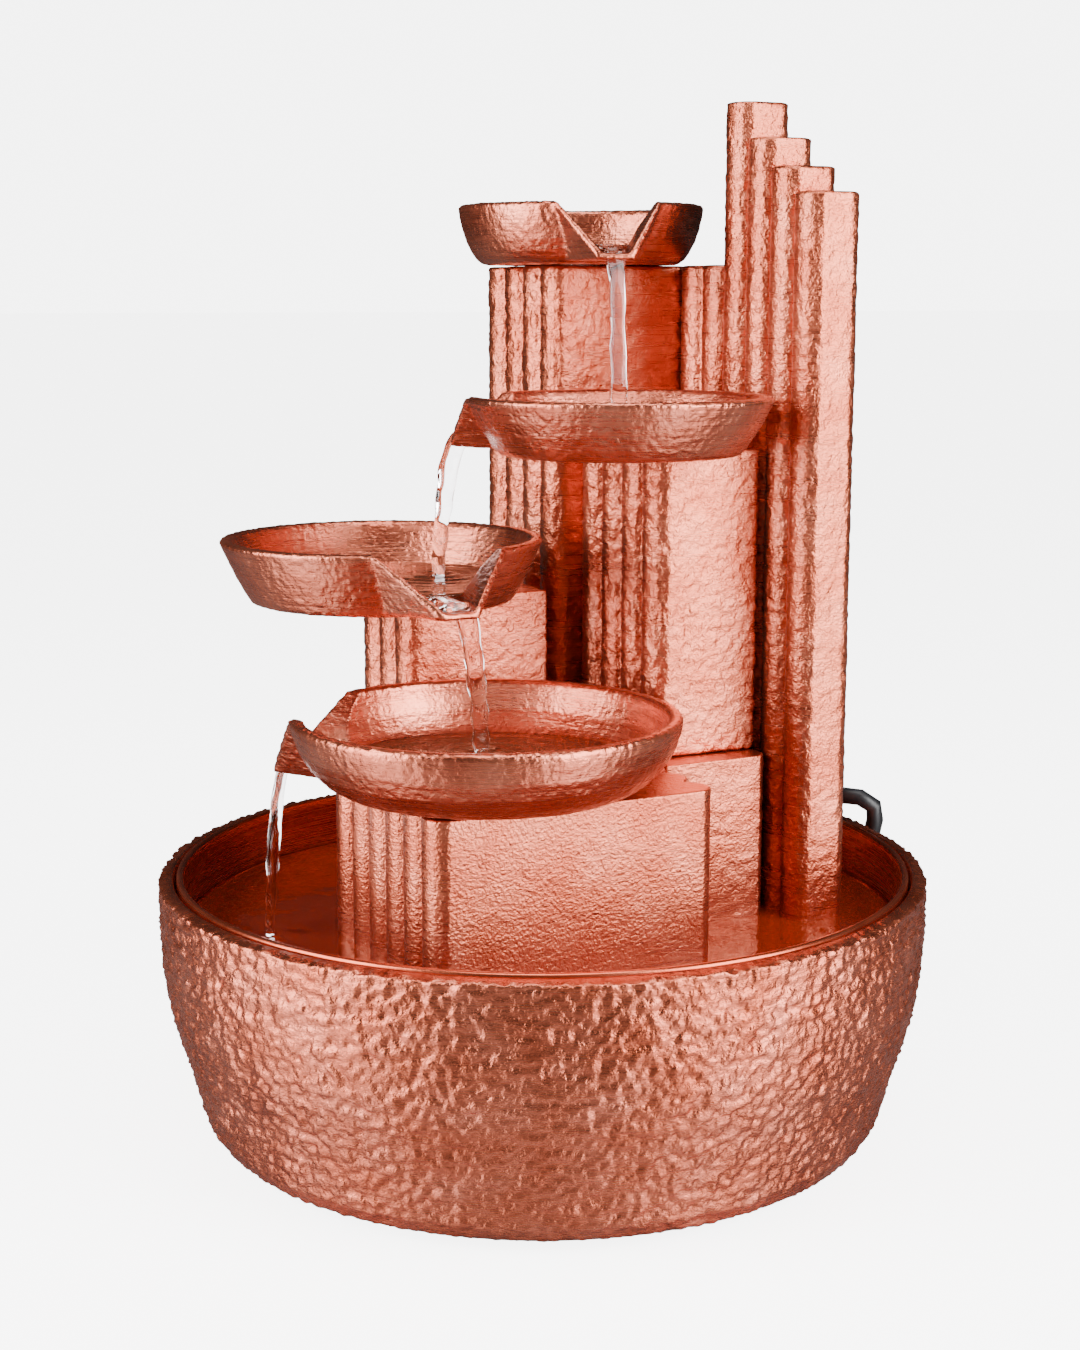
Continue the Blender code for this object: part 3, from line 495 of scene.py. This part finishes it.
# name: (bowl that it leaves, where it lands, widths and depths down the stream, and its ridges: their
# share of the width, how far the stream turns on itself in degrees, and the height between them)
STREAMS = {
    "stream_1": ("bowl_1", "bowl_2", (0.0078, 0.0066, 0.0050, 0.0046, 0.0052, 0.0056),
                 (0.0032, 0.0030, 0.0028, 0.0026, 0.0028, 0.0030), (0.10, 18.0, 0.0022)),
    "stream_2": ("bowl_2", "bowl_3", (0.0084, 0.0086, 0.0080, 0.0066, 0.0054, 0.0052),
                 (0.0040, 0.0058, 0.0060, 0.0050, 0.0042, 0.0042), (0.16, 14.0, 0.0016)),
    "stream_3": ("bowl_3", "bowl_4", (0.0090, 0.0080, 0.0068, 0.0060, 0.0054, 0.0056),
                 (0.0030, 0.0028, 0.0026, 0.0026, 0.0024, 0.0026), (0.16, 20.0, 0.0014)),
    "stream_4": ("bowl_4", "reservoir", (0.0090, 0.0088, 0.0074, 0.0060, 0.0052, 0.0052),
                 (0.0026, 0.0026, 0.0026, 0.0026, 0.0024, 0.0026), (0.14, 16.0, 0.0016)),
}


def ripple_rings(place, centre, reach, height, wave):
    """Rings that run out from where a stream lands, dying away over reach."""
    out = hypot(place.x - centre[0], place.y - centre[1])
    return height * cos(out / wave * 2 * pi) * exp(-out / reach)


def water_disc(name, body, material, centre, radius, level, thickness, landing, cell):
    """A thin sheet of water with a rippled top, with rings around the place where a stream lands."""
    work = bmesh.new()
    rings = max(6, round(radius / cell))
    bmesh.ops.create_circle(work, cap_ends=False, segments=DISC_SEGMENTS, radius=radius / rings,
                            matrix=Matrix.Translation((centre[0], centre[1], level)))
    edges = list(work.edges)
    middle = bmesh.ops.contextual_create(work, geom=edges)["faces"]
    bmesh.ops.poke(work, faces=middle)
    for ring in range(2, rings + 1):
        grown = bmesh.ops.extrude_edge_only(work, edges=edges)["geom"]
        verts = [g for g in grown if isinstance(g, bmesh.types.BMVert)]
        edges = [g for g in grown if isinstance(g, bmesh.types.BMEdge)]
        bmesh.ops.scale(work, verts=verts, vec=(ring / (ring - 1.0),) * 3,
                        space=Matrix.Translation((-centre[0], -centre[1], -level)))
    bmesh.ops.remove_doubles(work, verts=work.verts, dist=WELD)
    for vert in work.verts:
        lift = soft_noise(vert.co, 11.0 * MM) * 0.12 * MM
        vert.co.z += lift + ripple_rings(vert.co, landing[:2], *landing[2:])
    bmesh.ops.recalc_face_normals(work, faces=work.faces)
    if sum(f.normal.z for f in work.faces) < 0:
        bmesh.ops.reverse_faces(work, faces=work.faces)
    shown = work.faces[:]
    below = bmesh.ops.duplicate(work, geom=work.verts[:] + work.edges[:] + shown)
    under = [g for g in below["geom"] if isinstance(g, bmesh.types.BMVert)]
    for vert in under:
        vert.co.z = level - thickness
    bmesh.ops.reverse_faces(work, faces=[g for g in below["geom"] if isinstance(g, bmesh.types.BMFace)])
    rim = [e for e in work.edges if e.is_boundary]
    bmesh.ops.bridge_loops(work, edges=rim)
    bmesh.ops.recalc_face_normals(work, faces=work.faces)
    return finish_piece(name, work, body, material)


def lip_of(node):
    """Where the water leaves a bowl, and the way that it leaves."""
    cx, cy, rim_r, lip, reach, heading = BOWLS[node]
    way = Vector((cos(radians(heading)), sin(radians(heading)), 0.0))
    start = Vector((cx, cy, 0.0)) + way * (rim_r + reach - LIP_OVERLAP)
    start.z = span(node)[0].z + lip + WATER_DEPTH_AT_LIP * 0.35
    return start, way


def fall_path(start, end, count):
    """Points of a free fall from a lip to where it lands."""
    points = []
    for i in range(count + 1):
        t = i / count
        place = start.lerp(end, t ** 0.50)
        place.z = start.z + (end.z - start.z) * t ** 1.45
        points.append(place)
    return points


def make_stream(name, node, end, widths, depths, ridges):
    """A falling stream: a band as wide as the lip that draws in as it speeds up and breaks into
    ridges."""
    start, way = lip_of(node)
    ridge_share, ridge_turn, ridge_height = ridges
    run_in = start - way * RUN_IN
    points = []
    for i in range(RUN_IN_STEPS):
        rise = Vector((0, 0, RUN_IN_RISE * (1 - i / RUN_IN_STEPS)))
        points.append(run_in.lerp(start, i / RUN_IN_STEPS) + rise)
    points += fall_path(start, Vector(end), FALL_STEPS)
    across = Vector((-way.y, way.x, 0.0))
    total = len(points) - 1
    work = bmesh.new()
    bmesh.ops.create_circle(work, cap_ends=False, segments=STREAM_SEGMENTS, radius=1.0)
    ring = sorted(work.verts, key=lambda v: atan2(v.co.y, v.co.x))
    angles = [atan2(v.co.y, v.co.x) for v in ring]
    edges = list(work.edges)
    for i, point in enumerate(points):
        if i:
            grown = bmesh.ops.extrude_edge_only(work, edges=edges)["geom"]
            verts = [g for g in grown if isinstance(g, bmesh.types.BMVert)]
            edges = [g for g in grown if isinstance(g, bmesh.types.BMEdge)]
            last = {tuple(v.co): k for k, v in enumerate(ring)}
            placed = [None] * STREAM_SEGMENTS
            for vert in verts:
                placed[last[tuple(vert.co)]] = vert
            ring = placed
        after = points[min(i + 1, total)]
        before = points[max(i - 1, 0)]
        along = (after - before).normalized()
        thick_way = across.cross(along).normalized()
        t = i / total
        wide = curve_value(widths, t) / 2
        deep = curve_value(depths, t) / 2
        swing = radians(ridge_turn) * sin(t * 7.0) * t
        for vert, angle in zip(ring, angles):
            edge_bead = 1.0 + 0.55 * abs(cos(angle)) ** 3
            wobble = 1.0 + ridge_share * t * t * sin(point.z / ridge_height + 1.3 * sin(angle))
            x, y = cos(angle) * wide * wobble, sin(angle) * deep * edge_bead * wobble
            x, y = x * cos(swing) - y * sin(swing), x * sin(swing) + y * cos(swing)
            jitter = 1.0 + 0.16 * soft_noise(Vector((angle, i * 0.11, wide * 900)), 1.0)
            vert.co = point + across * x * jitter + thick_way * y * jitter
    bmesh.ops.holes_fill(work, edges=[e for e in work.edges if e.is_boundary], sides=0)
    bmesh.ops.recalc_face_normals(work, faces=work.faces)
    return finish_piece(name, work, "tower", CLEAR_WATER)


def curve_value(stops, t):
    """Smooth value at t from evenly spaced stops."""
    at = t * (len(stops) - 1)
    i = min(int(at), len(stops) - 2)
    f = at - i
    f = f * f * (3 - 2 * f)
    return stops[i] * (1 - f) + stops[i + 1] * f


def make_water():
    """The water in the reservoir and the bowls, and the four streams from lip to lip."""
    inner = shell_radius(WATER_LEVEL) - SHELL_WALL - LINER_WALL - 1.0 * MM
    water_disc("reservoir_water", "basin", RESERVOIR_POOL, (0.0, 0.0), inner, WATER_LEVEL, 1.6 * MM,
               LANDINGS["reservoir"], 1.8 * MM)
    levels = {node: span(node)[0].z + BOWLS[node][3] + WATER_DEPTH_AT_LIP for node in BOWLS}
    for node, (cx, cy, rim_r, *_) in BOWLS.items():
        water_disc(node + "_water", "tower", BOWL_POOL, (cx, cy), rim_r - POOL_INSET[node], levels[node],
                   1.2 * MM, LANDINGS[node], 1.4 * MM)
    ends = {node: level - 0.6 * MM for node, level in levels.items()}
    ends["reservoir"] = WATER_LEVEL + 0.2 * MM
    for name, (node, below, widths, depths, ridges) in STREAMS.items():
        make_stream(name, node, (*LANDINGS[below][:2], ends[below]), widths, depths, ridges)


# ---------------------------------------------------------------- cord
def smooth_route(points, spacing, cuts=24):
    """Evenly spaced points on a Catmull-Rom curve through the given ones."""
    points = [Vector(p) for p in points]
    ends = [2 * points[0] - points[1]] + points + [2 * points[-1] - points[-2]]
    fine = []
    for a, b, c, d in zip(ends, ends[1:], ends[2:], ends[3:]):
        for step in range(cuts):
            t = step / cuts
            fine.append(0.5 * ((2 * b) + (c - a) * t + (2 * a - 5 * b + 4 * c - d) * t * t
                               + (3 * b - a - 3 * c + d) * t * t * t))
    fine.append(points[-1])
    lengths = [0.0]
    for a, b in zip(fine, fine[1:]):
        lengths.append(lengths[-1] + (b - a).length)
    count = max(2, round(lengths[-1] / spacing))
    even, index = [], 0
    for number in range(count + 1):
        target = lengths[-1] * number / count
        while index < len(fine) - 2 and lengths[index + 1] < target:
            index += 1
        gap = lengths[index + 1] - lengths[index]
        even.append(fine[index].lerp(fine[index + 1], (target - lengths[index]) / gap if gap else 0.0))
    return even


def coil_turns():
    """The stored turns: one outer turn on the table, three up the inside of the ring, and back down its
    outside."""
    stops = [(COIL_OUTER, COIL_LEVELS[0]), (COIL_INNER, COIL_LEVELS[0]), (COIL_INNER, COIL_LEVELS[1]),
             (COIL_INNER, COIL_LEVELS[2]), (COIL_OUTER, COIL_LEVELS[2]), (COIL_OUTER, COIL_LEVELS[1])]
    window, last_angle, pitch, settling = 45.0, 5 * 360.0 + 90.0, 9.0, 30.0      # degrees
    points = []
    for number in range(1, round(last_angle / pitch) + 1):
        angle = number * pitch
        radius, height = stops[0]
        for turn, (next_radius, next_height) in enumerate(stops[1:]):
            opening = (turn + 1) * (360.0 - window)
            part = min(1.0, max(0.0, (angle - opening) / window))
            part = part * part * (3 - 2 * part)
            radius += (next_radius - radius) * part
            height += (next_height - height) * part
        if angle < settling:
            height = CORD_ROUTE[-1][2] + (height - CORD_ROUTE[-1][2]) * angle / settling
        points.append(Vector((COIL_CENTRE[0] + radius * cos(radians(angle)),
                              COIL_CENTRE[1] + radius * sin(radians(angle)), height)))
    return points


def straight_on(run, end, spacing):
    """Points that carry a run straight on to its end."""
    tail = run[-1]
    steps = max(1, round((end - tail).length / spacing))
    return [tail.lerp(end, i / steps) for i in range(1, steps + 1)]


def make_cord():
    """The cord from the pump to its plug: over the rim, along the table, through the coil and out."""
    low, high = span("plug_strain_relief")
    run = smooth_route(CORD_ROUTE, 6.0 * MM)
    coil_start = Vector((COIL_CENTRE[0] + COIL_OUTER, COIL_CENTRE[1], CORD_ROUTE[-1][2]))
    run += straight_on(run, coil_start, 6.0 * MM)
    run += coil_turns()
    plug_end = Vector((high.x + 0.2 * MM, (low.y + high.y) / 2, (low.z + high.z) / 2))
    run += straight_on(run, plug_end, 5.0 * MM)
    curve = bpy.data.curves.new("power_cord", "CURVE")
    curve.dimensions = "3D"
    curve.bevel_depth = CORD_R
    curve.bevel_resolution = 6
    curve.use_fill_caps = True
    line = curve.splines.new("POLY")
    line.points.add(len(run) - 1)
    for point, place in zip(line.points, run):
        point.co = (*place, 1.0)
    line.use_smooth = True
    curve.materials.append(CORD_PVC)
    piece = bpy.data.objects.new("power_cord", curve)
    bpy.context.scene.collection.objects.link(piece)
    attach(piece, "basin")
    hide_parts("cord", "cord_coil")


# ---------------------------------------------------------------- carried-over parts
def dress_nodes():
    """Gives the CAD nodes that stay in sight their materials."""
    finishes = {
        "foot": PAD_RUBBER, "pump": PUMP_PLASTIC, "intake": PUMP_PLASTIC, "flow": PUMP_PLASTIC,
        "rotor": SHAFT_STEEL, "impeller": FERRITE, "suction": CLEAR_PVC, "riser_tube": CLEAR_PVC,
        "cord": CORD_PVC, "plug_blade": BLADE_BRASS, "plug": CORD_PVC,
    }
    for name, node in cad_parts.items():
        for start, material in finishes.items():
            if name.startswith(start):
                node.data.materials.clear()
                node.data.materials.append(material)
                break


# ---------------------------------------------------------------- studio
WHITE = (1.0, 1.0, 1.0, 1.0)
SATIN_GREY = (0.42, 0.42, 0.43, 1.0)
FLOOR_HALF = 40.0
OBJECT_MIDDLE = Vector((0.0, 0.0, 0.15))
# name: (turn from the camera's side in degrees, distance, height, width and height of the box, watts)
SOFT_BOXES = {
    "left_box": (-64.0, 0.85, 0.36, (0.60, 1.00), 22.0),
    "right_box": (55.0, 0.85, 0.36, (0.56, 1.00), 24.0),
    "top_box": (10.0, 0.25, 1.50, (0.80, 0.80), 15.0),
}


def seen_or_through(tree):
    """1 for what is looked at straight or through clear water, and 0 for what mirrors and lights the
    object."""
    path = add(tree, "ShaderNodeLightPath").outputs
    return add(tree, "ShaderNodeMath", {"operation": "MAXIMUM"}, i0=path["Is Camera Ray"],
               i1=path["Is Transmission Ray"]).outputs[0]


def make_studio():
    """A pale floor and backdrop, and three soft boxes: two tall ones at the sides and one overhead. The
    floor is pale matt paper to the eye, and the object itself sees it as a darker, satin table."""
    floor_material, tree, shader = new_material("studio_floor", Roughness=0.85,
                                                Emission_Color=WHITE, Emission_Strength=5.5)
    places = add(tree, "ShaderNodeTexCoord").outputs["Object"]
    cloud = add(tree, "ShaderNodeTexNoise", {"Scale": PER_MM / PAPER_CLOUD_MM}, Vector=places)
    paper = add(tree, "ShaderNodeValToRGB", stops=((0.2, "#E8E8EA"), (0.8, "#F0F0F0")),
                Fac=cloud.outputs["Fac"])
    tree.links.new(paper.outputs["Color"], shader.inputs["Base Color"])
    satin = add(tree, "ShaderNodeBsdfPrincipled",
                {"Base Color": SATIN_GREY, "Metallic": 0.6, "Roughness": 0.22})
    seen = seen_or_through(tree)
    both = add(tree, "ShaderNodeMixShader", i0=seen, i1=satin.outputs[0], i2=shader.outputs[0])
    tree.links.new(both.outputs[0], tree.nodes["Material Output"].inputs["Surface"])
    work = bmesh.new()
    bmesh.ops.create_grid(work, x_segments=8, y_segments=8, size=FLOOR_HALF)
    mesh = bpy.data.meshes.new("floor")
    work.to_mesh(mesh)
    work.free()
    mesh.materials.append(floor_material)
    floor = bpy.data.objects.new("floor", mesh)
    bpy.context.scene.collection.objects.link(floor)

    world = bpy.data.worlds.new("studio")
    world.use_nodes = True
    tree = world.node_tree
    sky = tree.nodes["Background"]
    sky.inputs["Color"].default_value = WHITE
    sky.inputs["Strength"].default_value = 0.03
    backdrop = add(tree, "ShaderNodeBackground", {"Color": WHITE, "Strength": 6.0})
    seen = seen_or_through(tree)
    both = add(tree, "ShaderNodeMixShader", i0=seen, i1=sky.outputs[0], i2=backdrop.outputs[0])
    tree.links.new(both.outputs[0], tree.nodes["World Output"].inputs["Surface"])
    bpy.context.scene.world = world

    toward = atan2(EYE.y, EYE.x)
    for name, (turn, reach, height, size, power) in SOFT_BOXES.items():
        lamp = bpy.data.lights.new(name, "AREA")
        lamp.shape = "RECTANGLE"
        lamp.size, lamp.size_y = size
        lamp.energy = power
        holder = bpy.data.objects.new(name, lamp)
        angle = toward + radians(turn)
        holder.location = (cos(angle) * reach, sin(angle) * reach, height)
        holder.rotation_euler = (OBJECT_MIDDLE - holder.location).to_track_quat("-Z", "Y").to_euler()
        bpy.context.scene.collection.objects.link(holder)


def make_camera():
    camera = bpy.data.cameras.new("camera")
    camera.lens = EYE_LENS
    camera.clip_start, camera.clip_end = 0.01, 120.0
    holder = bpy.data.objects.new("camera", camera)
    turn, down = radians(EYE_TURN), radians(EYE_DOWN)
    look = Vector((sin(turn) * cos(down), cos(turn) * cos(down), -sin(down)))
    holder.location = EYE
    holder.rotation_euler = look.to_track_quat("-Z", "Y").to_euler()
    bpy.context.scene.collection.objects.link(holder)
    bpy.context.scene.camera = holder


make_camera()
make_studio()
dress_nodes()
make_shell()
make_liner()
make_tower()
make_bowls()
make_water()
make_cord()
